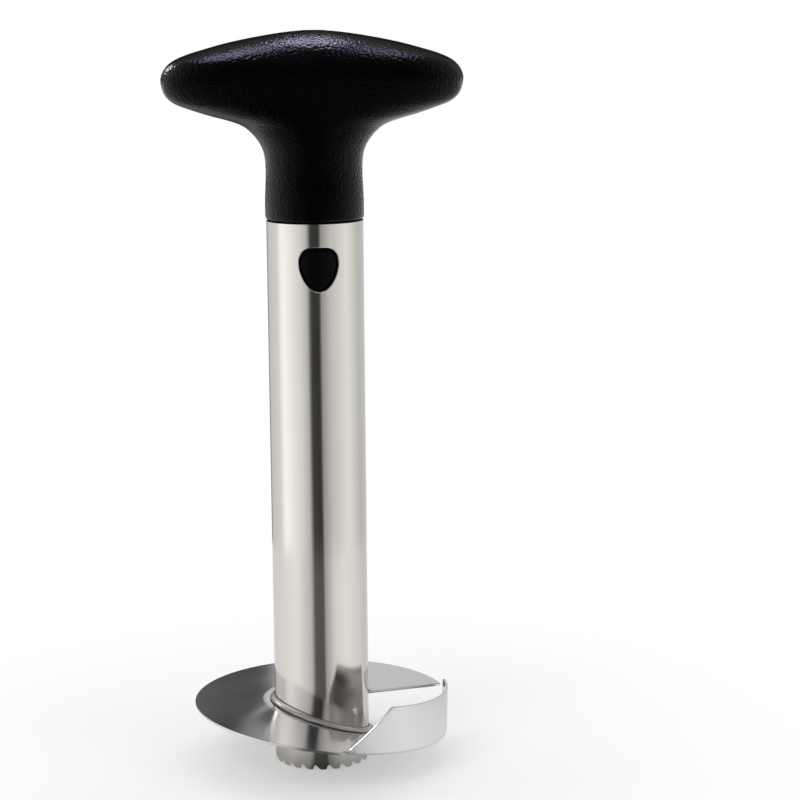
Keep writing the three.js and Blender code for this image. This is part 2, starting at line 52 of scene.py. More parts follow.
mergeDistance = 0.0005 * mm


# Editing, the way it is done by hand

def choose(piece):
    bpy.ops.object.select_all(action="DESELECT")
    piece.select_set(True)
    bpy.context.view_layer.objects.active = piece


def named(name):  # what was just added gets its name, with its place in its mesh
    piece = bpy.context.active_object
    piece.name = name
    piece.data.name = name
    bpy.ops.object.transform_apply(location=True, rotation=True, scale=True)
    return piece


def editing(piece):
    choose(piece)
    bpy.ops.object.mode_set(mode="EDIT")
    return bmesh.from_edit_mesh(piece.data)


def editingDone():
    bpy.ops.object.mode_set(mode="OBJECT")


def pick(piece, kind, wanted):  # in edit mode, selects the edges or faces that a test wants
    bpy.ops.mesh.select_all(action="DESELECT")
    edit = bmesh.from_edit_mesh(piece.data)
    for part in getattr(edit, kind):
        part.select_set(wanted(part))
    bmesh.update_edit_mesh(piece.data)


def closeUp(piece):  # doubles merged, what is left loose deleted, faces turned outwards
    edit = editing(piece)
    bpy.ops.mesh.select_all(action="SELECT")
    bpy.ops.mesh.remove_doubles(threshold=mergeDistance)
    bpy.ops.mesh.delete_loose()
    bpy.ops.mesh.select_all(action="SELECT")
    bpy.ops.mesh.normals_make_consistent(inside=False)
    if edit.calc_volume(signed=True) < 0:  # a flared end can mislead the operator
        bpy.ops.mesh.flip_normals()
    editingDone()


def modify(piece, kind, **settings):
    modifier = piece.modifiers.new(kind.title(), kind)
    for setting, value in settings.items():
        setattr(modifier, setting, value)
    choose(piece)
    bpy.ops.object.modifier_apply(modifier=modifier.name)


def smooth(piece, angle=32):
    choose(piece)
    bpy.ops.object.shade_smooth_by_angle(angle=math.radians(angle))


def cut(piece, *cutters):  # takes the cutters out of the piece and throws them away
    for cutter in cutters:
        modify(piece, "BOOLEAN", operation="DIFFERENCE", object=cutter, solver="MANIFOLD")
        bpy.data.objects.remove(cutter)


def handOver(piece, body, slot, material, *replaced):  # finish, body, slot (not used) and the solids it stands for
    piece.data.materials.clear()
    piece.data.materials.append(material)
    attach(piece, body)
    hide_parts(*replaced)


# Places and curves

def around(radius, azimuth, height):  # azimuth in degrees from the front, growing towards +X
    turn = math.radians(azimuth)
    return Vector((radius * math.sin(turn), -radius * math.cos(turn), height)) * mm


def azimuthOf(place):
    return math.degrees(math.atan2(place.x, -place.y))


def bend(start, startPull, endPull, end, count):  # a Bezier curve in the flat, as [x, y] places
    corners = [Vector((*place, 0)) for place in (start, startPull, endPull, end)]
    return [(place.x, place.y) for place in interpolate_bezier(*corners, count)]


def ease(value, low, high):  # smooth change from 0 to 1 between two values
    share = min(max((value - low) / (high - low), 0), 1)
    return (1 - math.cos(math.pi * share)) / 2


def throughPlaces(places, count, finePerSpan=12):  # an evenly divided smooth curve through places
    places = [np.array(place, float) for place in places]
    guides = [2 * places[0] - places[1], *places, 2 * places[-1] - places[-2]]
    fine = []
    for a, b, c, d in zip(guides, guides[1:], guides[2:], guides[3:]):
        spans = ((a, b), (b, c), (c, d))
        times = np.cumsum([0] + [np.linalg.norm(end - start) ** 0.5 for start, end in spans])

        def blend(start, end, i, j, time):
            return ((times[j] - time) * start + (time - times[i]) * end) / (times[j] - times[i])

        for time in np.linspace(times[1], times[2], finePerSpan, endpoint=False):
            ab = blend(a, b, 0, 1, time)
            bc = blend(b, c, 1, 2, time)
            cd = blend(c, d, 2, 3, time)
            fine.append(blend(blend(ab, bc, 0, 2, time), blend(bc, cd, 1, 3, time), 1, 2, time))
    fine = np.array(fine + [places[-1]])
    length = np.concatenate([[0], np.cumsum(np.linalg.norm(np.diff(fine, axis=0), axis=1))])
    stops = np.linspace(0, length[-1], count + 1)
    return np.column_stack([np.interp(stops, length, fine[:, axis]) for axis in range(3)])


# Forms that several pieces start from

def revolve(name, profile, steps):  # a closed profile of [radius, height] turned about the tube's axis
    bpy.ops.mesh.primitive_circle_add(vertices=len(profile), radius=mm)
    piece = named(name)
    for point, (radius, height) in zip(piece.data.vertices, profile):
        point.co = Vector((radius, 0, height)) * mm
    editing(piece)
    bpy.ops.mesh.select_all(action="SELECT")
    bpy.ops.mesh.spin(steps=steps, angle=2 * math.pi, center=(0, 0, 0), axis=(0, 0, 1),
                      use_auto_merge=True)
    editingDone()
    closeUp(piece)
    return piece


def pull(name, rings, openEnds=False):  # a ring is extruded from place to place
    bpy.ops.mesh.primitive_circle_add(vertices=len(rings[0]), radius=mm)
    piece = named(name)
    for point, place in zip(piece.data.vertices, rings[0]):
        point.co = place
    edit = editing(piece)
    bpy.ops.mesh.select_all(action="SELECT")
    if not openEnds:
        bpy.ops.mesh.edge_face_add()

    def spot(point):
        return tuple(round(value / mm, 4) for value in point.co)

    ring = list(edit.verts)
    for places in rings[1:]:
        order = {spot(point): i for i, point in enumerate(ring)}
        bpy.ops.mesh.extrude_region_move()
        edit = bmesh.from_edit_mesh(piece.data)
        pulled = [point for point in edit.verts if point.select]
        ring = sorted(pulled, key=lambda point: order[spot(point)])
        for point, place in zip(ring, places):
            point.co = place
    bmesh.update_edit_mesh(piece.data)
    editingDone()
    closeUp(piece)
    return piece


def blank(name, columns, rows, place):  # a sheet of cells, formed by place(column share, row share)
    bpy.ops.mesh.primitive_grid_add(x_subdivisions=columns, y_subdivisions=rows, size=1)
    piece = named(name)
    for point in piece.data.vertices:
        point.co = place(point.co.x + 0.5, point.co.y + 0.5)
    return piece


# Camera, at the photograph's angle

cameraSetting = {
    "focalPixels": 2200,  # focal length in the picture's own pixels
    "picturePixels": 800,
    "sensor": 36,
    "distance": 702.55,  # level distance from the tube's axis
    "height": 247.67,
    "azimuth": -4.2,
    "pitch": 10.296,  # looks down by this
    "aim": 2.183,  # looks to the right of the tube by this
    "roll": 0.453,
}


def setCamera():
    s = cameraSetting
    data = bpy.data.cameras.new("studioCamera")
    data.sensor_width = s["sensor"]
    data.lens = s["focalPixels"] / s["picturePixels"] * s["sensor"]
    camera = bpy.data.objects.new("studioCamera", data)
    bpy.context.scene.collection.objects.link(camera)
    heading = Matrix.Rotation(math.radians(s["azimuth"] - s["aim"]), 4, "Z")
    tilt = Matrix.Rotation(math.radians(90 - s["pitch"]), 4, "X")
    roll = Matrix.Rotation(math.radians(-s["roll"]), 4, "Z")
    place = around(s["distance"], s["azimuth"], s["height"])
    camera.matrix_world = Matrix.Translation(place) @ heading @ tilt @ roll
    bpy.context.scene.camera = camera


setCamera()
print("camera set")


# Finishes

def shader(tree, kind, operation=None, **inputs):  # a node, its sockets given values or other sockets
    node = tree.nodes.new("ShaderNode" + kind)
    if operation:
        node.operation = operation
    for socket, value in inputs.items():
        numbered = socket[1:].isdigit()
        target = node.inputs[int(socket[1:]) if numbered else socket.replace("_", " ")]
        if isinstance(value, bpy.types.NodeSocket):
            tree.links.new(value, target)
        else:
            target.default_value = value
    return node


def finish(name, colour, roughness, metallic=0, **sockets):
    material = bpy.data.materials.new(name)
    material.use_nodes = True
    surface = material.node_tree.nodes["Principled BSDF"]
    surface.inputs["Base Color"].default_value = (*colour, 1)
    surface.inputs["Roughness"].default_value = roughness
    surface.inputs["Metallic"].default_value = metallic
    for socket, value in sockets.items():
        surface.inputs[socket.replace("_", " ")].default_value = value
    return material, material.node_tree, surface


def stretched(tree, scale):  # the object's own coordinates, counted finer along some axes
    place = shader(tree, "TexCoord").outputs["Object"]
    return shader(tree, "Mapping", Vector=place, Scale=scale).outputs["Vector"]


def noise(tree, scale):
    place = stretched(tree, scale)
    return shader(tree, "TexNoise", Vector=place, Scale=1.0, Detail=3.0).outputs["Fac"]


def between(tree, share, low, high):  # a noise, most of it from 0.3 to 0.7, turned into low to high
    node = shader(tree, "MapRange", Value=share, From_Min=0.3, From_Max=0.7, To_Min=low, To_Max=high)
    return node.outputs["Result"]


def tinted(tree, share, low, high):  # a share turned into a colour between two
    mix = shader(tree, "Mix")
    mix.data_type = "RGBA"
    tree.links.new(share, mix.inputs[0])
    mix.inputs[6].default_value = (*low, 1)
    mix.inputs[7].default_value = (*high, 1)
    return mix.outputs[2]


def roughen(tree, surface, height, depth):  # a relief this many millimetres deep
    bump = shader(tree, "Bump", Height=height, Strength=1.0, Distance=depth * mm)
    tree.links.new(bump.outputs["Normal"], surface.inputs["Normal"])


def makeBrushedSteel():  # satin, drawn lengthwise
    material, tree, surface = finish("brushedSteel", (0.73, 0.705, 0.66), 0.12, 1)
    streaks = noise(tree, (3200, 3200, 25))
    tint = tinted(tree, streaks, (0.7, 0.675, 0.63), (0.76, 0.735, 0.69))
    tree.links.new(tint, surface.inputs["Base Color"])
    tree.links.new(between(tree, streaks, 0.1, 0.14), surface.inputs["Roughness"])
    roughen(tree, surface, streaks, 0.004)
    return material


def makeSheetSteel():  # bright, lightly polished
    material, tree, surface = finish("sheetSteel", (0.7, 0.7, 0.715), 0.16, 1)
    streaks = noise(tree, (90, 2600, 2600))
    cloud = noise(tree, (60, 60, 60))
    tint = tinted(tree, streaks, (0.68, 0.68, 0.695), (0.72, 0.72, 0.735))
    tree.links.new(tint, surface.inputs["Base Color"])
    tree.links.new(between(tree, cloud, 0.13, 0.2), surface.inputs["Roughness"])
    roughen(tree, surface, streaks, 0.002)
    return material


def makeWeldSteel():  # a cleaned weld with its ripples
    material, tree, surface = finish("weldSteel", (0.5, 0.48, 0.45), 0.35, 1)
    grain = noise(tree, (900, 900, 900))
    tint = tinted(tree, grain, (0.42, 0.4, 0.37), (0.56, 0.54, 0.51))
    tree.links.new(tint, surface.inputs["Base Color"])
    tree.links.new(between(tree, grain, 0.28, 0.45), surface.inputs["Roughness"])
    roughen(tree, surface, grain, 0.05)
    return material


def makeSpringSteel():  # drawn wire
    material, tree, surface = finish("springSteel", (0.55, 0.55, 0.57), 0.25, 1)
    grain = noise(tree, (2500, 2500, 2500))
    tree.links.new(between(tree, grain, 0.2, 0.34), surface.inputs["Roughness"])
    roughen(tree, surface, grain, 0.006)
    return material


def makePebbleBlack():  # black moulding with a fine leather grain, each pebble a low dome
    material, tree, surface = finish("pebbleBlack", (0.0006, 0.0006, 0.0007), 0.2,
                                     Specular_Tint=(0.08, 0.08, 0.1, 1))
    place = stretched(tree, (1050, 1050, 1050))
    pebbles = shader(tree, "TexVoronoi", Vector=place, Scale=1.0)
    pebbles.feature = "SMOOTH_F1"
    pebbles.inputs["Smoothness"].default_value = 0.2
    away = pebbles.outputs["Distance"]
    fine = shader(tree, "TexNoise", Vector=place, Scale=2.6, Detail=2.0).outputs["Fac"]
    fall = shader(tree, "Math", "MULTIPLY", _0=away, _1=-1.0).outputs["Value"]
    rough = shader(tree, "Math", "MULTIPLY", _0=fine, _1=0.2).outputs["Value"]
    domes = shader(tree, "Math", "MULTIPLY_ADD", _0=fall, _1=away, _2=rough).outputs["Value"]
    tree.links.new(between(tree, fine, 0.12, 0.2), surface.inputs["Roughness"])
    roughen(tree, surface, domes, 0.13)
    return material


def makeSmoothBlack():  # black moulding, plain
    material, tree, surface = finish("smoothBlack", (0.015, 0.015, 0.017), 0.35)
    haze = noise(tree, (700, 700, 700))
    tree.links.new(between(tree, haze, 0.3, 0.42), surface.inputs["Roughness"])
    roughen(tree, surface, haze, 0.006)
    return material


def makeGlossBlack():
    material, tree, surface = finish("glossBlack", (0.0015, 0.0015, 0.002), 0.14,
                                     Specular_Tint=(0.1, 0.1, 0.11, 1))
    haze = noise(tree, (900, 900, 900))
    tree.links.new(between(tree, haze, 0.12, 0.17), surface.inputs["Roughness"])
    roughen(tree, surface, haze, 0.002)
    return material


brushedSteel = makeBrushedSteel()
sheetSteel = makeSheetSteel()
weldSteel = makeWeldSteel()
springSteel = makeSpringSteel()
pebbleBlack = makePebbleBlack()
smoothBlack = makeSmoothBlack()
glossBlack = makeGlossBlack()
print("finishes mixed")


# Core tube, with saw teeth below and a latch hole in front and behind

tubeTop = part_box("core_tube")[1].z / mm
tube = {
    "radius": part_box("core_tube")[1].x / mm,
    "wall": 0.8,
    "teeth": 22,
    "toothDepth": 1.7,
    "toothLand": 0.7,
    "toothTurn": -2.8,
    "steepEnd": 0.34,  # as shares of the run between two lands: where the steep flank ends
    "steepPulls": (0.2, 0.16),
    "slopePulls": (0.5, 0.76),
    "flankSteps": 9,
    "rows": [4, 30, 80, 130, 150, tubeTop - 0.35],
    "edge": 0.12,
    "rimEdge": 0.3,  # the top edge is rounder than the teeth
    "rimBand": 1,
    "crease": 60,
}
latch = {  # the pick-shaped outline, its point down
    "width": 12.6,
    "height": 14,
    "drop": 7.7,
    "flat": 0.28,  # this and the next five as shares of the half width or the height
    "shoulder": 0.74,
    "tipPull": 0.58,
    "flankPull": 0.6,
    "widest": 0.34,
    "crownPull": 0.14,
    "rimRound": 0.32,
    "flareGrowth": 1.6,  # as a share of the rim's round, as the next one
    "flareRise": 0.4,
    "cutInwards": 4,
    "cutOutwards": 3,
}


def pickOutline(growth, steps=14):  # in X, and in heights from the tube's top
    half = latch["width"] / 2 + growth
    top = -latch["drop"] + growth
    bottom = -latch["drop"] - latch["height"] - growth

    def fall(share):
        return top + (bottom - top) * share

    flat = half * latch["flat"]
    widest = (half, fall(latch["widest"]))
    flank = bend((0, bottom), (half * latch["tipPull"], bottom),
                 (half, fall(latch["flankPull"])), widest, steps)
    crown = bend(widest, (half, fall(latch["crownPull"])),
                 (half * latch["shoulder"], top), (flat, top), steps)
    right = flank + crown[1:] + [(flat / 2, top)]
    return right + [(0, top)] + [(-x, z) for x, z in reversed(right[1:])]


def onBore(outline, radius, side):  # laid on a round wall, in front (side -1) or behind (side 1)
    return [Vector((x, side * math.sqrt(radius ** 2 - x ** 2), tubeTop + z)) * mm for x, z in outline]


def toothEdge():  # the lower edge from one tooth's middle to the next, as [along, up]
    pitch = 2 * math.pi * tube["radius"] / tube["teeth"]
    start = tube["toothLand"] / 2
    reach = pitch - tube["toothLand"]
    steepIn, steepOut = tube["steepPulls"]
    slopeIn, slopeOut = tube["slopePulls"]

    def at(share, rise):
        return (start + reach * share, tube["toothDepth"] * rise)

    peak = at(tube["steepEnd"], 1)
    steepFlank = bend(at(0, 0), at(steepIn, 0), at(steepOut, 1), peak, tube["flankSteps"])
    longSlope = bend(peak, at(slopeIn, 1), at(slopeOut, 0), at(1, 0), tube["flankSteps"])
    return [(0, 0)] + steepFlank + longSlope[1:]


def latchHole(side, radius):  # flares outwards, which rounds the hole's rim
    r = latch["rimRound"]
    rings = [onBore(pickOutline(0), radius - latch["cutInwards"], side)]
    for turn in (0, 25, 50, 72):
        swing = math.radians(turn)
        growth = r * (1 - math.cos(swing))
        rings.append(onBore(pickOutline(growth), radius - r * (1 - math.sin(swing)), side))
    rings.append(onBore(pickOutline(r * latch["flareGrowth"]), radius + r * latch["flareRise"], side))
    away = side * (radius + latch["cutOutwards"]) * mm
    rings.append([Vector((place.x, away, place.z)) for place in rings[-1]])
    return pull("latchHole", rings)


def makeTube():
    edge = []
    for tooth in range(tube["teeth"]):
        for along, up in toothEdge():
            start = tube["toothTurn"] + 360 * tooth / tube["teeth"]
            edge.append((start + math.degrees(along / tube["radius"]), up))
    rings = [[around(tube["radius"], azimuth, up) for azimuth, up in edge]]
    rings += [[around(tube["radius"], azimuth, row) for azimuth, up in edge] for row in tube["rows"]]
    piece = pull("coreTube", rings, openEnds=True)
    modify(piece, "SOLIDIFY", thickness=tube["wall"] * mm, offset=-1, use_even_offset=True)
    editing(piece)
    for atTop, width, segments in ((True, tube["rimEdge"], 3), (False, tube["edge"], 2)):
        pick(piece, "edges", lambda edge: edge.calc_face_angle(0) > math.radians(tube["crease"])
             and (edge.verts[0].co.z > (tubeTop - tube["rimBand"]) * mm) == atTop)
        bpy.ops.mesh.bevel(offset=width * mm, segments=segments, affect="EDGES", clamp_overlap=False)
    editingDone()
    cut(piece, latchHole(-1, tube["radius"]), latchHole(1, tube["radius"]))
    smooth(piece, angle=24)
    handOver(piece, "tube", "tube", brushedSteel, "core_tube")


makeTube()
print("core tube made")


# Ring blade, one pressed sheet: a ramp with an upturned wall, cut open at the slicing slit

ring = {
    "radius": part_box("ring_blade")[1].x / mm,
    "inner": tube["radius"] + 0.3,
    "sheet": 0.8,
    "highLevel": 19.8,
    "slice": 11.6,
    "rampStart": -80,
    "rampEnd": 100,
    "slit": 2,
    "wallHeight": 15.8,
    "wallFoot": 7.5,
    "wallTop": 28.2,
    "wallLean": 1.5,
    "wallNose": 6,
    "cornerRadius": 1.1,
    "cornerStart": 4,
    "cornerEnd": 10,
    "rimLip": 0.5,
    "keenEdge": 0.15,  # the sheet's thickness at the cutting edge, ground over the last degrees
    "keenAngle": 5,
    "keenBelow": 0.9,  # as a share of the high level, above which the sheet's other end lies
    "edge": 0.16,
    "crease": 50,
    "columns": 358,
    "rows": 20,
    "floorShare": 0.3,  # of the rows, as the next one
    "cornerShare": 0.5,
}


def ringLevel(azimuth):  # height of the middle of the sheet
    return ring["highLevel"] - ring["slice"] * ease(azimuth, ring["rampStart"], ring["rampEnd"])


def wallRun(azimuth):
    full = ring["wallHeight"] - ring["cornerRadius"]
    tail = (azimuth - ring["wallFoot"]) / (ring["wallTop"] - ring["wallFoot"])
    nose = (ring["rampEnd"] - azimuth) / ring["wallNose"]
    return ring["rimLip"] + (full - ring["rimLip"]) * min(max(tail, 0), max(nose, 0), 1)


def sheetPlace(along, across):  # the outer skin: floor, then corner, then wall, from the tube outwards
    azimuth = ring["rampEnd"] - (360 - ring["slit"]) * (1 - along)
    half = ring["sheet"] / 2
    turn = ease(azimuth, ring["cornerStart"], ring["cornerEnd"]) * math.radians(90 - ring["wallLean"])
    cornerLength = (ring["cornerRadius"] - half) * math.pi / 2
    run = wallRun(azimuth)
    straight = max(turn, 1e-4)
    cornerOut = cornerLength * math.sin(straight) / straight
    start = ring["radius"] - half * math.sin(turn) - run * math.cos(turn) - cornerOut
    floorShare, cornerShare = ring["floorShare"], ring["cornerShare"]
    if across <= floorShare:
        slope = 0
        out = ring["inner"] + (start - ring["inner"]) * across / floorShare
        up = 0
    else:
        share = min((across - floorShare) / cornerShare, 1)
        slope = straight * share
        out = start + cornerLength * math.sin(slope) / straight
        up = cornerLength * (1 - math.cos(slope)) / straight
    beyond = max((across - floorShare - cornerShare) / (1 - floorShare - cornerShare), 0)
    out += beyond * run * math.cos(slope) + half * math.sin(slope)
    up += beyond * run * math.sin(slope) - half * math.cos(slope)
    return around(out, azimuth, ringLevel(azimuth) + up)


def makeRing():
    piece = blank("ringBlade", ring["columns"], ring["rows"], sheetPlace)
    keen = piece.vertex_groups.new(name="thickness")
    thin = ring["keenEdge"] / ring["sheet"]
    for point in piece.data.vertices:
        azimuth = azimuthOf(point.co)
        share = (ring["rampEnd"] - azimuth) / ring["keenAngle"]
        onBlade = -1e-3 <= share <= 1 and point.co.z < ring["highLevel"] * mm * ring["keenBelow"]
        keen.add([point.index], thin + (1 - thin) * max(share, 0) if onBlade else 1, "REPLACE")
    modify(piece, "SOLIDIFY", thickness=ring["sheet"] * mm, offset=-1, use_even_offset=True,
           vertex_group="thickness")
    editing(piece)
    bladeStart = ring["rampEnd"] - ring["keenAngle"] - 1
    pick(piece, "edges", lambda edge: edge.calc_face_angle(0) > math.radians(ring["crease"])
         and not (bladeStart < azimuthOf(edge.verts[0].co) < ring["rampEnd"] + 0.5))
    bpy.ops.mesh.bevel(offset=ring["edge"] * mm, segments=2, affect="EDGES", clamp_overlap=False)
    editingDone()
    smooth(piece)
    handOver(piece, "tube", "ring", sheetSteel, "ring_blade")


makeRing()
print("ring blade made")


# Weld bead, from one side of the slit to the other

weld = {
    "leg": 1.3,
    "clearance": 0.3,
    "hollow": 0.36,
    "dip": 0.6,
    "faceSteps": 7,
    "steps": 178,
}


def makeWeld():
    inner = tube["radius"] + weld["clearance"]
    leg = weld["leg"]
    middle = leg * weld["hollow"]
    dip = middle * weld["dip"]
    face = bend((leg, 0), (middle, dip), (dip, middle), (0, leg), weld["faceSteps"])
    rings = []
    for step in range(weld["steps"] + 1):
        azimuth = ring["rampEnd"] - (360 - ring["slit"]) * (1 - step / weld["steps"])
        foot = ringLevel(azimuth) + ring["sheet"] / 2 + weld["clearance"]
        rings.append([around(inner + out, azimuth, foot + up) for out, up in [(0, 0)] + face])
    piece = pull("weldBead", rings)
    smooth(piece, angle=50)
    handOver(piece, "tube", "weld", weldSteel, "ring_weld")


makeWeld()
print("weld bead made")


# Grip, two moulded halves that meet along the silhouette

grip = {
    "top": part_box("grip_front_shell")[1].z / mm - tubeTop + 0.02,  # heights from the tube's top
    "halfLength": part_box("grip_front_shell")[1].x / mm + 0.04,
    "halfDepth": 17.2,
    "neck": tube["radius"] + 0.3,
    "waist": tube["radius"] - 0.05,
    "waistHeight": 17,
    "neckEdge": 1.3,
    "lip": 11.45,
    "lipHeight": 3.2,
    "bore": 13.05,
    "shelf": (7.8, 10.2),
    "seat": -0.05,
    "wall": 2.4,
    "leastInside": (4, 2),  # half length and half depth of the hollow's smallest ring
    "seam": 0.01,
    "seamEdge": 0.22,
    "seamMargin": 0.6,
    "crease": 40,
    "fullness": 0.5,
    "rings": 84,
    "facets": 128,
    # height as a share of the grip's, then how far its length and depth have grown from the waist's
    "flare": [
        (0.37, 0.022, 0.1), (0.432, 0.084, 0.25), (0.494, 0.2, 0.4), (0.525, 0.335, 0.5),
        (0.557, 0.545, 0.62), (0.589, 0.725, 0.72), (0.621, 0.875, 0.82), (0.652, 0.945, 0.9),
        (0.685, 0.98, 0.96),
    ],
    # height, half length and half depth as shares of the grip's
    "crown": [
        (0.745, 1, 1), (0.779, 0.989, 0.99), (0.81, 0.966, 0.965), (0.841, 0.922, 0.925),
        (0.873, 0.836, 0.86), (0.904, 0.71, 0.773), (0.9355, 0.563, 0.64), (0.967, 0.3685, 0.436),
        (0.989, 0.19, 0.23), (0.999, 0.06, 0.075),
    ],
}


def gripOutline(length, depth, height):  # round at the neck, fuller than an ellipse where it is long
    power = 2 + grip["fullness"] * (1 - depth / length)
    steps = grip["facets"] // 4 - 1
    margin = grip["seamMargin"]  # nothing else lies nearer the seam, which leaves room for its edge
    quarter = [(length, 0)]
    for i in range(steps + 1):
        across = margin + (depth - margin) * math.sin(math.pi / 2 * i / steps) ** (2 / power)
        quarter.append((length * max(1 - (across / depth) ** power, 0) ** (1 / power), across))
    upper = quarter + [(-x, y) for x, y in reversed(quarter[:-1])]
    whole = upper + [(x, -y) for x, y in reversed(upper[1:-1])]
    return [Vector((x, y, tubeTop + height)) * mm for x, y in whole]


def gripLevels():  # the outside from the waist to the crown, as [half length, half depth, height]
    g = grip
    levels = [
        (g["neck"], g["neck"], g["seat"] + g["neckEdge"]),
        (g["neck"], g["neck"], g["waistHeight"] / 3),
        (g["waist"], g["waist"], g["waistHeight"]),
    ]
    for rise, length, depth in g["flare"]:
        grown = [g["waist"] + (full - g["waist"]) * share
                 for full, share in ((g["halfLength"], length), (g["halfDepth"], depth))]
        levels.append((*grown, g["top"] * rise))
    for rise, length, depth in g["crown"]:
        levels.append((g["halfLength"] * length, g["halfDepth"] * depth, g["top"] * rise))
    return throughPlaces(levels, g["rings"])


def gripBody(name):
    g = grip
    rings = [gripOutline(g["lip"] - 1, g["lip"] - 1, g["seat"])]
    for turn in (0, 18, 36, 54, 72):
        swing = math.radians(turn)
        edge = g["neck"] - g["neckEdge"] * (1 - math.sin(swing))
        rings.append(gripOutline(edge, edge, g["seat"] + g["neckEdge"] * (1 - math.cos(swing))))
    rings += [gripOutline(*level) for level in gripLevels()]
    return pull(name, rings)


def gripHollow():  # the bore, with the shelf that holds the plug's flange, then the inside of the wall
    g = grip
    low, high = g["shelf"]
    leastLength, leastDepth = g["leastInside"]
    bore = [(g["lip"], g["seat"] - 1), (g["lip"], g["lipHeight"]), (g["bore"], g["lipHeight"]),
            (g["bore"], low), (g["lip"], low), (g["lip"], high)]
    rings = [gripOutline(radius, radius, height) for radius, height in bore]
    levels = gripLevels()
    for (length, depth, height), (longer, deeper, higher) in zip(levels, np.gradient(levels, axis=0)):
        alongLength = math.hypot(longer, higher)
        alongDepth = math.hypot(deeper, higher)
        length -= g["wall"] * higher / alongLength
        depth -= g["wall"] * higher / alongDepth
        height += g["wall"] * (longer / alongLength + deeper / alongDepth) / 2
        if height > high and length > leastLength and depth > leastDepth:
            rings.append(gripOutline(length, depth, height))
    return pull("gripHollow", rings)


def makeGripHalf(name, side, node):  # side is -1 in front and 1 behind
    piece = gripBody(name)
    cut(piece, gripHollow())
    seam = side * grip["seam"] / 2 * mm
    editing(piece)
    bpy.ops.mesh.select_all(action="SELECT")
    bpy.ops.mesh.bisect(plane_co=(0, seam, 0), plane_no=(0, side, 0), threshold=1e-7,
                        use_fill=True, clear_inner=True)
    pick(piece, "edges", lambda edge: all(abs(point.co.y - seam) < 1e-6 for point in edge.verts)
         and edge.is_manifold and edge.calc_face_angle(0) > math.radians(grip["crease"]))
    bpy.ops.mesh.bevel(offset=grip["seamEdge"] * mm, segments=2, affect="EDGES", clamp_overlap=False)
    editingDone()
    smooth(piece)
    handOver(piece, "handle", "grip", pebbleBlack, node)


makeGripHalf("gripFront", -1, "grip_front_shell")
makeGripHalf("gripRear", 1, "grip_rear_shell")
print("grip made")


# Latch buttons, each with a pin, a spring seat, a flange and a curved head

button = {
    "faceRadius": -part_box("front_button")[0].y / mm,
    "clearance": 0.3,
    "edge": 0.9,
    "flangeGrowth": 1.5,
    "flangeFront": 11.2,
    "flangeBack": 9.5,
    "seatDepth": 8.2,
    "seatRadius": 4.6,
    "pinRadius": 2.2,
    "pinLength": 4.6,
    "pinEdge": 0.3,
    "outlineSteps": 12,
    "faceShares": (0.8, 0.6, 0.4, 0.2, 0.05),
}


def makeButton(name, side, node):
    b = button
    middle = -latch["drop"] - latch["height"] / 2
    head = pickOutline(-b["clearance"], b["outlineSteps"])
    flange = pickOutline(b["flangeGrowth"], b["outlineSteps"])
    pinEnd = b["seatDepth"] - b["pinLength"]

    def disc(radius):  # a ring with a point for each of the head's
        places = []
        for x, z in head:
            away = math.hypot(x, z - middle)
            places.append((x * radius / away, middle + (z - middle) * radius / away))
        return places

    def flat(outline, reach):
        return [Vector((x, side * reach, tubeTop + z)) * mm for x, z in outline]

    rings = [
        flat(disc(b["pinRadius"] - b["pinEdge"]), pinEnd),
        flat(disc(b["pinRadius"]), pinEnd + b["pinEdge"]),
        flat(disc(b["pinRadius"]), b["seatDepth"]),
        flat(disc(b["seatRadius"]), b["seatDepth"]),
        onBore(disc(b["seatRadius"]), b["flangeBack"], side),
        onBore(flange, b["flangeBack"], side),
        onBore(flange, b["flangeFront"], side),
        onBore(head, b["flangeFront"], side),
    ]
    for turn in (0, 18, 36, 54, 72, 90):
        swing = math.radians(turn)
        growth = -b["clearance"] - b["edge"] * (1 - math.cos(swing))
        radius = b["faceRadius"] - b["edge"] * (1 - math.sin(swing))
        rings.append(onBore(pickOutline(growth, b["outlineSteps"]), radius, side))
    face = pickOutline(-b["clearance"] - b["edge"], b["outlineSteps"])
    for share in b["faceShares"]:
        shrunk = [(x * share, middle + (z - middle) * share) for x, z in face]
        rings.append(onBore(shrunk, b["faceRadius"], side))
    piece = pull(name, rings)
    smooth(piece, angle=35)
    handOver(piece, node, "button", glossBlack, node)


makeButton("buttonFront", -1, "front_button")
makeButton("buttonRear", 1, "rear_button")
print("buttons made")


# Latch plug below the grip, with its flange, a window and two guide cheeks for each button, and its cap

plug = {  # heights from the tube's top
    "radius": 14.35,
    "cavity": 12.55,
    "depth": 42,
    "nose": 0.8,
    "roof": -3.3,
    "web": 2.5,
    "flange": 12.65,
    "flangeFoot": 3.6,
    "flangeHead": 7.4,
    "stem": 11.05,
    "stemWall": 2.4,
    "stemHeight": 16,
    "keyWidth": 5,
    "keySeat": 11.35,
    "keyDepth": 3,
    "guide": 8.3,
    "guideRadius": 13.45,
    "guideFoot": -26.2,
    "guideSteps": 24,
    "edge": 0.25,
    "crease": 40,
    "facets": 120,
}
cap = {
    "gap": 0.3,
    "thickness": 1.8,
    "spigot": 12.25,
    "spigotHeight": 5,
    "spigotWall": 1.4,
}


def turnedPiece(name, profile):  # its sharp edges lightly rounded
    piece = revolve(name, [(radius, tubeTop + height) for radius, height in profile], plug["facets"])
    modify(piece, "BEVEL", width=plug["edge"] * mm, segments=2, limit_method="ANGLE",
           angle_limit=math.radians(plug["crease"]))
    return piece


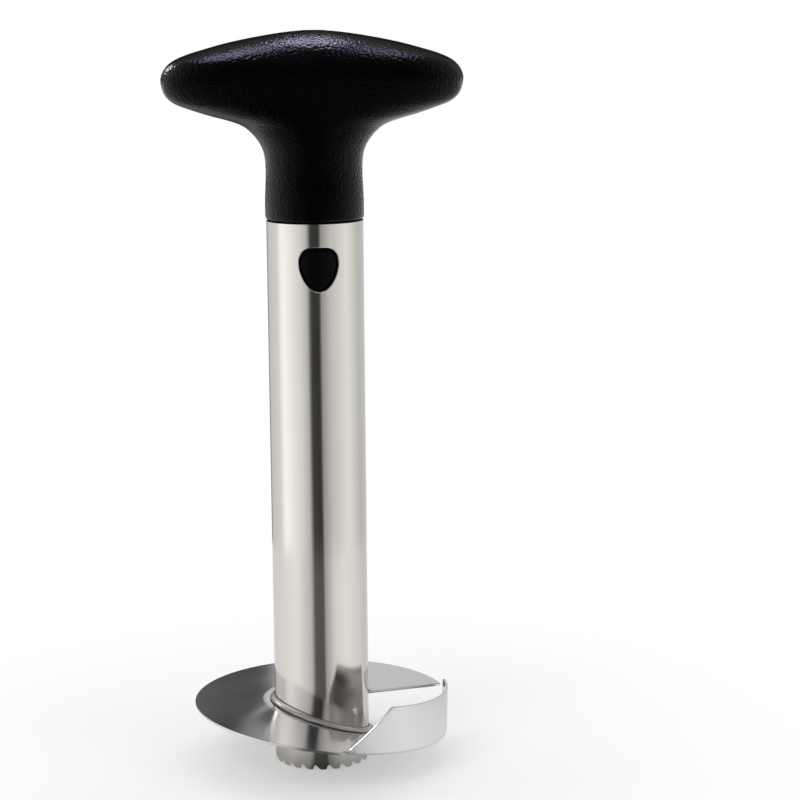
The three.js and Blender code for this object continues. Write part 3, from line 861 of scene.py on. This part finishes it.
def makeCheek(side):  # the inside of the plug filled beyond a guide's flat
    p = plug
    radius = p["guideRadius"]
    reach = math.acos(p["guide"] / radius)
    turns = [reach * (1 - step / (p["guideSteps"] / 2)) for step in range(p["guideSteps"] + 1)]
    outline = [(side * radius * math.cos(turn), radius * math.sin(turn)) for turn in turns]
    rings = []
    for height in (p["guideFoot"], p["roof"] + p["web"] / 2):
        rings.append([Vector((x, y, tubeTop + height)) * mm for x, y in outline])
    return pull("cheek", rings)


def keySeat(side):  # a slot in the flange for the grip's key
    p = plug
    out = side * (p["keySeat"] + p["keyDepth"] / 2) * mm
    up = (tubeTop + (p["flangeFoot"] + p["flangeHead"]) / 2) * mm
    bpy.ops.mesh.primitive_cube_add(size=mm, location=(0, out, up))
    size = (p["keyWidth"], p["keyDepth"], p["flangeHead"] - p["flangeFoot"] + 1)
    bpy.context.active_object.scale = size
    return named("keySeat")


def makePlug():
    p = plug
    bore = p["stem"] - p["stemWall"]
    ceiling = p["roof"] + p["web"]
    piece = turnedPiece("latchPlug", [
        (0, p["roof"]), (p["cavity"], p["roof"]), (p["cavity"], -p["depth"]), (p["radius"], -p["depth"]),
        (p["radius"], -p["nose"]), (p["radius"] - p["nose"], 0), (p["stem"], 0),
        (p["stem"], p["flangeFoot"]), (p["flange"], p["flangeFoot"]),
        (p["flange"], p["flangeHead"]), (p["stem"], p["flangeHead"]),
        (p["stem"], p["stemHeight"]), (bore, p["stemHeight"]), (bore, ceiling), (0, ceiling),
    ])
    for side in (-1, 1):
        cheek = makeCheek(side)
        modify(piece, "BOOLEAN", operation="UNION", object=cheek, solver="MANIFOLD")
        bpy.data.objects.remove(cheek)
    cut(piece, latchHole(-1, p["radius"]), latchHole(1, p["radius"]), keySeat(-1), keySeat(1))
    smooth(piece)
    handOver(piece, "handle", "insert", smoothBlack, "latch_insert")


def makeCap():
    top = -plug["depth"] - cap["gap"]
    foot = top - cap["thickness"]
    inner = cap["spigot"] - cap["spigotWall"]
    head = top + cap["spigotHeight"]
    piece = turnedPiece("plugCap", [
        (0, foot), (plug["radius"] - plug["nose"], foot), (plug["radius"], foot + plug["nose"]),
        (plug["radius"], top), (cap["spigot"], top), (cap["spigot"], head), (inner, head), (inner, top),
        (0, top),
    ])
    smooth(piece)
    handOver(piece, "handle", "insert", smoothBlack, "insert_cap")


makePlug()
makeCap()
print("latch plug and cap made")


# Button spring, wound in two halves

spring = {
    "wire": 0.9,
    "radius": 3.2,
    "activeTurns": 6,
    "deadPitch": 1.45,
    "halfLength": 7.45,
    "height": -14.7,  # from the tube's top
    "stepsPerTurn": 28,
    "sides": 10,
    "pressed": 0.8,  # what is left of a half's length when its button is pressed
}


def makeSpringHalf(name, side):
    s = spring
    half = s["activeTurns"] / 2
    pitch = (s["halfLength"] - s["deadPitch"]) / half
    rings = []
    for step in range(int((half + 1) * s["stepsPerTurn"]) + 1):
        turn = step / s["stepsPerTurn"]
        out = side * 2 * math.pi * turn
        along = side * (min(turn, half) * pitch + max(turn - half, 0) * s["deadPitch"])
        outward = Vector((math.sin(out), 0, math.cos(out)))
        middle = outward * s["radius"] + Vector((0, along, tubeTop + s["height"]))
        ring = []
        for i in range(s["sides"]):
            tilt = 2 * math.pi * i / s["sides"]
            rim = outward * math.cos(tilt) + Vector((0, math.sin(tilt), 0))
            ring.append((middle + rim * s["wire"] / 2) * mm)
        rings.append(ring)
    piece = pull(name, rings)
    smooth(piece, angle=50)
    handOver(piece, "handle", "spring", springSteel, "button_spring")
    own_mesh(piece)


makeSpringHalf("springFront", -1)
makeSpringHalf("springRear", 1)
print("button spring made")


# Studio: pale floor, white surroundings, soft lamps and a tent of cards for the steel to mirror, the floor
# cards with a painted shadow under the tool

studio = {
    "floorSize": 6000,
    "floorColour": (0.94, 0.94, 0.94),
    "floorGlow": 0.4,  # how white it is already beside the object
    "fadeStart": 45,  # the floor turns pure white away from the object
    "fadeEnd": 190,
    "skyLevel": 0.5,
    "tentRadius": 300,
    "tentTop": 172,
    "tentLift": 0.2,
    "tentFacets": 180,
    "paintedShadowStart": 15.9,  # painted shadow: under the tool the mirrored floor cards are darker, standing in for the tool's shadow
    "paintedShadowEnd": 60,
    "paintedShadow": 0.35,
    # brightness by azimuth from the front: a wide card on each side of the camera's dark gap
    "wallCards": [
        (-180, 0.05), (-166, 0.2), (-152, 0.66), (-106, 0.86), (-96, 1.15), (-86, 1.27), (-60, 1.03),
        (-42, 0.87), (-25, 0.6), (-17, 0.05), (4, 0.03), (7, 0.36), (30, 0.7), (72, 0.98), (112, 0.63),
        (180, 0.7),
    ],
    "floorCards": [
        (-180, 0.7), (-106, 0.9), (-60, 1), (-25, 0.6), (-17, 0.12), (4, 0.1), (7, 0.4), (30, 0.85),
        (57, 0.98), (95, 0.86), (124, 0.7), (180, 0.75),
    ],
    # the same above the tent, where the grip mirrors it
    "skyCards": [
        (-180, 0.02), (-155, 0.08), (-135, 0.5), (-107, 1.1), (-80, 1.2), (-60, 1), (-45, 0.25),
        (-35, 0.12), (35, 0.12), (50, 0.3), (60, 0.5), (74, 1), (95, 0.6), (125, 0.5), (155, 0.04),
        (180, 0.02),
    ],
    "overhead": (0.5, 0.8),  # how steep a direction is where the sky turns into the zenith
    "zenith": 0.4,
}
gripCards = {  # single cards that the grip mirrors: place, aim, size, turn, brightness, colour
    "leftBandCard": ((-50, -3, 330), (-50, -3, 0), (56, 50), 12, 11, (0.74, 0.72, 1)),
    "midBandCard": ((5, 33, 330), (5, 33, 0), (36, 42), 0, 12, (0.76, 0.74, 1)),
    "rightBandCard": ((53, -6, 330), (53, -6, 0), (40, 50), -12, 7, (0.74, 0.72, 1)),
    "sideCard": ((-461, 479, 516), (-45, 0, 220), (150, 150), 0, 14, (1, 1, 1)),
}
lamps = {  # place, aim, size, power in watts, colour
    "keyLamp": ((-420, -520, 620), (0, 0, 150), (420, 420), 2, (1, 1, 1)),
    "fillLamp": ((560, -360, 420), (0, 0, 120), (420, 420), 1, (1, 0.97, 0.96)),
    "topLamp": ((0, 190, 760), (0, 20, 200), (900, 300), 2, (0.95, 0.95, 1)),
}


def grey(level):
    return (level, level, level, 1)


def cardRing(tree, place, levels):  # brightness that changes with the azimuth of a place or direction
    parts = shader(tree, "SeparateXYZ", Vector=place).outputs
    front = shader(tree, "Math", "MULTIPLY", _0=parts["Y"], _1=-1.0).outputs["Value"]
    azimuth = shader(tree, "Math", "ARCTAN2", _0=parts["X"], _1=front).outputs["Value"]
    share = shader(tree, "MapRange", Value=azimuth, From_Min=-math.pi, From_Max=math.pi)
    ramp = shader(tree, "ValToRGB", Fac=share.outputs["Result"])
    stops = ramp.color_ramp.elements
    stops.remove(stops[1])
    stops[0].color = grey(levels[0][1])
    for turn, level in levels[1:]:
        stops.new((turn + 180) / 360).color = grey(level)
    return ramp.outputs["Color"], parts["Z"]


def makeFloor():
    bpy.ops.mesh.primitive_plane_add(size=studio["floorSize"] * mm)
    floor = named("studioFloor")
    material = bpy.data.materials.new("paleFloor")
    material.use_nodes = True
    tree = material.node_tree
    surface = tree.nodes["Principled BSDF"]
    surface.inputs["Base Color"].default_value = (*studio["floorColour"], 1)
    surface.inputs["Roughness"].default_value = 0.6
    surface.inputs["Specular IOR Level"].default_value = 0.2
    away = shader(tree, "VectorMath", "LENGTH", _0=shader(tree, "TexCoord").outputs["Object"])
    fade = shader(tree, "MapRange", Value=away.outputs["Value"], From_Min=studio["fadeStart"] * mm,
                  From_Max=studio["fadeEnd"] * mm, To_Min=studio["floorGlow"])
    fade.interpolation_type = "SMOOTHSTEP"
    white = shader(tree, "Emission", Strength=1.0)
    mix = shader(tree, "MixShader", _0=fade.outputs["Result"], _1=surface.outputs["BSDF"],
                 _2=white.outputs["Emission"])
    tree.links.new(mix.outputs["Shader"], tree.nodes["Material Output"].inputs["Surface"])
    floor.data.materials.append(material)


def glow(card, lit):  # a card seen in reflections only, with the colour and strength that lit(tree) gives
    material = bpy.data.materials.new(card.name)
    material.use_nodes = True
    tree = material.node_tree
    tree.nodes.clear()
    colour, strength = lit(tree)
    light = shader(tree, "Emission", Color=colour, Strength=strength)
    output = shader(tree, "OutputMaterial")
    tree.links.new(light.outputs["Emission"], output.inputs["Surface"])
    card.data.materials.append(material)
    card.visible_camera = False
    card.visible_diffuse = False
    card.visible_shadow = False
    card.visible_transmission = False


def ringLight(levels):  # painted shadow: dimmer close to the tool's foot, where the tool's shadow falls on the mirrored floor
    def lit(tree):
        place = shader(tree, "TexCoord").outputs["Object"]
        away = shader(tree, "VectorMath", "LENGTH", _0=place)
        # painted shadow on the cards, darkest at the tool's foot
        paintedShadow = shader(tree, "MapRange", Value=away.outputs["Value"], From_Min=studio["paintedShadowStart"] * mm,
                       From_Max=studio["paintedShadowEnd"] * mm, To_Min=studio["paintedShadow"])
        return cardRing(tree, place, levels)[0], paintedShadow.outputs["Result"]
    return lit


def makeTent():  # cards all round and on the floor
    radius, top, lift = (studio[side] * mm for side in ("tentRadius", "tentTop", "tentLift"))
    facets = studio["tentFacets"]
    bpy.ops.mesh.primitive_cylinder_add(vertices=facets, radius=radius, depth=top,
                                        end_fill_type="NOTHING", location=(0, 0, top / 2 + lift))
    wall = named("cardWall")
    bpy.ops.mesh.primitive_circle_add(vertices=facets, radius=radius, fill_type="NGON",
                                      location=(0, 0, lift))
    floor = named("cardFloor")
    editing(floor)
    bpy.ops.mesh.select_all(action="SELECT")
    bpy.ops.mesh.inset(thickness=radius - studio["paintedShadowStart"] * mm)
    bpy.ops.mesh.delete(type="FACE")
    editingDone()
    glow(wall, ringLight(studio["wallCards"]))
    glow(floor, ringLight(studio["floorCards"]))


def makeGripCards():
    for name, (place, aim, size, turn, level, colour) in gripCards.items():
        facing = (Vector(aim) - Vector(place)).normalized()
        alongFloor = Vector((math.cos(math.radians(turn)), math.sin(math.radians(turn)), 0))
        side = (alongFloor - facing * alongFloor.dot(facing)).normalized()
        pose = Matrix((side, facing.cross(side), facing)).transposed().to_euler()
        bpy.ops.mesh.primitive_plane_add(size=mm, location=Vector(place) * mm, rotation=pose)
        bpy.context.active_object.scale = (*size, 1)
        glow(named(name), lambda tree: ((*colour, 1), level))


def makeSky():  # white to the camera and through glass, cards in reflections, soft light elsewhere
    world = bpy.data.worlds.new("studio")
    world.use_nodes = True
    tree = world.node_tree
    ray = shader(tree, "LightPath").outputs
    direction = shader(tree, "TexCoord").outputs["Generated"]
    colour, height = cardRing(tree, direction, studio["skyCards"])
    low, high = studio["overhead"]
    overhead = shader(tree, "MapRange", Value=height, From_Min=low, From_Max=high).outputs["Result"]
    mirrored = shader(tree, "MixRGB", Fac=overhead, Color1=colour, Color2=grey(studio["zenith"]))
    seen = shader(tree, "MixRGB", Fac=ray["Is Glossy Ray"], Color1=grey(1), Color2=mirrored.outputs["Color"])
    direct = shader(tree, "Math", "MAXIMUM", _0=ray["Is Camera Ray"], _1=ray["Is Glossy Ray"])
    plain = shader(tree, "Math", "MAXIMUM", _0=direct.outputs["Value"], _1=ray["Is Transmission Ray"])
    strength = shader(tree, "MapRange", Value=plain.outputs["Value"], To_Min=studio["skyLevel"], To_Max=1.0)
    sky = tree.nodes["Background"]
    tree.links.new(seen.outputs["Color"], sky.inputs["Color"])
    tree.links.new(strength.outputs["Result"], sky.inputs["Strength"])
    bpy.context.scene.world = world


def makeLamps():
    for name, (place, aim, size, power, colour) in lamps.items():
        data = bpy.data.lights.new(name, "AREA")
        data.shape = "RECTANGLE"
        data.size, data.size_y = (side * mm for side in size)
        data.energy = power
        data.color = colour
        lamp = bpy.data.objects.new(name, data)
        lamp.location = Vector(place) * mm
        lamp.rotation_euler = (Vector(aim) - Vector(place)).to_track_quat("-Z", "Y").to_euler()
        lamp.visible_camera = False
        lamp.visible_glossy = False
        bpy.context.scene.collection.objects.link(lamp)


makeFloor()
makeTent()
makeGripCards()
makeSky()
makeLamps()
bpy.context.scene.view_settings.view_transform = "Standard"
print("studio made")
